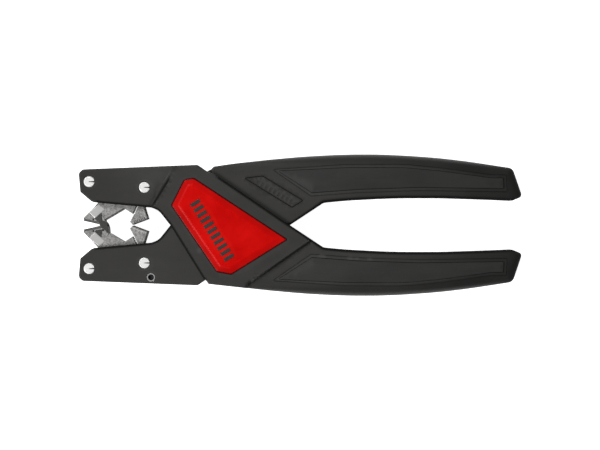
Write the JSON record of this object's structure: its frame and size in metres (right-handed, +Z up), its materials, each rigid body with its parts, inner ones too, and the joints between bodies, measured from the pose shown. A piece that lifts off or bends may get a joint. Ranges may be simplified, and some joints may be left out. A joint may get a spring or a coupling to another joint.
{
  "type": "wire stripping pliers",
  "caption": "Flat self-adjusting wire stripping pliers: crossed black levers with a red badge, pivoting steel jaws that part as the handles close, long curved grips.",
  "frame": {"origin": "centre of the bounding box's bottom face, on the surface that the tool lies on", "axes": "+X from the jaws towards the ends of the handles, +Y across the tool towards the handle of lever B, +Z up through the thickness, towards the front badge"},
  "size_m": [0.18, 0.0576, 0.02],
  "materials": {
    "black_shell": "fine-grained black glass-filled plastic",
    "black_grip": "softer black plastic with a fine grain",
    "red_badge": "semi-gloss red plastic with a bevelled edge",
    "sintered_steel": "grainy sintered steel",
    "insert_steel": "ground bright steel",
    "bright_steel": "bright turned steel",
    "blackened_steel": "blackened steel",
    "spring_steel": "drawn spring wire",
    "bearing_bronze": "sintered bearing bronze"
  },
  "bodies": {
    "lever_a": {"badge_front": "red_badge", "badge_rear": "red_badge", "grip_panel_a_front": "black_grip", "grip_panel_a_rear": "black_grip", "jaw_pin_upper_front": "bright_steel", "jaw_pin_upper_rear": "bright_steel", "jaw_spring_upper": "spring_steel", "leg_spacer_upper_front": "bright_steel", "leg_spacer_upper_rear": "bright_steel", "lever_a_shell_front": "black_shell", "lever_a_shell_rear": "black_shell", "pivot_pin": "bright_steel", "pivot_retaining_ring": "spring_steel", "shell_screw_a_1": "blackened_steel", "shell_screw_a_2": "blackened_steel", "shell_screw_a_3": "blackened_steel", "thrust_washer_front": "bearing_bronze", "thrust_washer_rear": "bearing_bronze"},
    "lever_b": {"grip_panel_b_front": "black_grip", "grip_panel_b_rear": "black_grip", "jaw_pin_lower_front": "bright_steel", "jaw_pin_lower_rear": "bright_steel", "jaw_spring_lower": "spring_steel", "leg_spacer_lower_front": "bright_steel", "leg_spacer_lower_rear": "bright_steel", "lever_b_shell_front": "black_shell", "lever_b_shell_rear": "black_shell", "opening_spring": "spring_steel", "pivot_bush": "bearing_bronze", "shell_screw_b_1": "blackened_steel", "shell_screw_b_2": "blackened_steel", "shell_screw_b_3": "blackened_steel", "stop_pin_hollow": "bright_steel"},
    "front_jaw_set_upper": {"clamp_profile_upper": "blackened_steel", "front_jaw_upper": "sintered_steel", "grip_insert_upper": "insert_steel"},
    "rear_jaw_set_upper": {"rear_jaw_upper": "sintered_steel", "stripping_blade_upper": "blackened_steel"},
    "front_jaw_set_lower": {"clamp_profile_lower": "blackened_steel", "front_jaw_lower": "sintered_steel", "grip_insert_lower": "insert_steel"},
    "rear_jaw_set_lower": {"rear_jaw_lower": "sintered_steel", "stripping_blade_lower": "blackened_steel"}
  },
  "joints": [
    {"name": "handle_squeeze", "type": "hinge", "parent": "lever_a", "child": "lever_b", "pos_m": [-0.0285, 0, 0.01], "axis": [0, 0, -1], "range_deg": [0, 8], "stiffness_Nm_per_rad": 0.5, "springref_deg": -20.05, "deforming": ["opening_spring"]},
    {"name": "front_jaw_upper_swing", "type": "hinge", "parent": "lever_a", "child": "front_jaw_set_upper", "pos_m": [-0.0633, 0.01535, 0.01], "axis": [0, 0, -1], "range_deg": [0, 11.84], "deforming": ["jaw_spring_upper"]},
    {"name": "rear_jaw_upper_swing", "type": "hinge", "parent": "lever_a", "child": "rear_jaw_set_upper", "pos_m": [-0.0857, 0.01765, 0.01], "axis": [0, 0, 1], "range_deg": [0, 8.72]},
    {"name": "front_jaw_lower_swing", "type": "hinge", "parent": "lever_b", "child": "front_jaw_set_lower", "pos_m": [-0.0633, -0.01535, 0.01], "axis": [0, 0, 1], "range_deg": [0, 11.84], "deforming": ["jaw_spring_lower"]},
    {"name": "rear_jaw_lower_swing", "type": "hinge", "parent": "lever_b", "child": "rear_jaw_set_lower", "pos_m": [-0.0857, -0.01765, 0.01], "axis": [0, 0, -1], "range_deg": [0, 8.72]}
  ],
  "couplings": [
    {"joint": "front_jaw_upper_swing", "follows": "handle_squeeze", "ratio": 1.48},
    {"joint": "rear_jaw_upper_swing", "follows": "handle_squeeze", "ratio": 1.09},
    {"joint": "front_jaw_lower_swing", "follows": "handle_squeeze", "ratio": 1.48},
    {"joint": "rear_jaw_lower_swing", "follows": "handle_squeeze", "ratio": 1.09}
  ]
}
